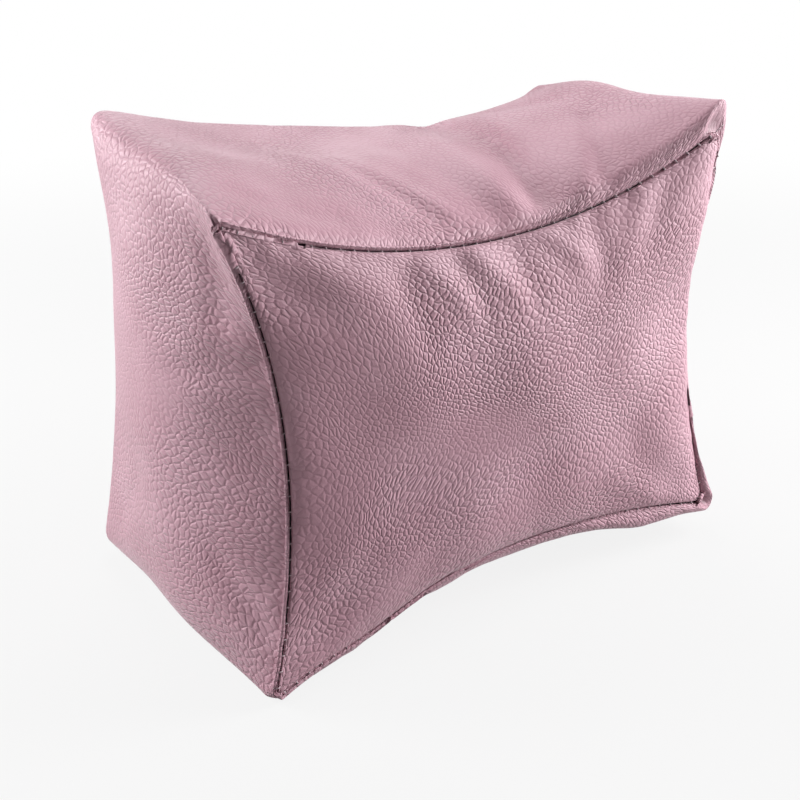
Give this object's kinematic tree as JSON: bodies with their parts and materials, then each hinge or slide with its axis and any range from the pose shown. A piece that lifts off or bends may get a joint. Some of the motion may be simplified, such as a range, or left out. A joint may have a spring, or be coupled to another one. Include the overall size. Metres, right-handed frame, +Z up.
{
  "type": "manicure hand rest",
  "caption": "Small block-shaped leather cushion with a dipped top on which a hand or wrist rests during nail care.",
  "frame": {"origin": "middle of the base, at the centre of the cushion's footprint", "axes": "+X along the 215 mm length, -Y toward the front panel, +Z up"},
  "size_m": [0.2148, 0.1304, 0.1749],
  "materials": {
    "leather_pink": "soft pebbled leather with a low sheen",
    "fibre_white": "matte fibre stuffing"
  },
  "bodies": {
    "root": {"front_panel": "leather_pink", "back_panel": "leather_pink", "wrap_band": "leather_pink", "filling": "fibre_white"}
  },
  "joints": []
}
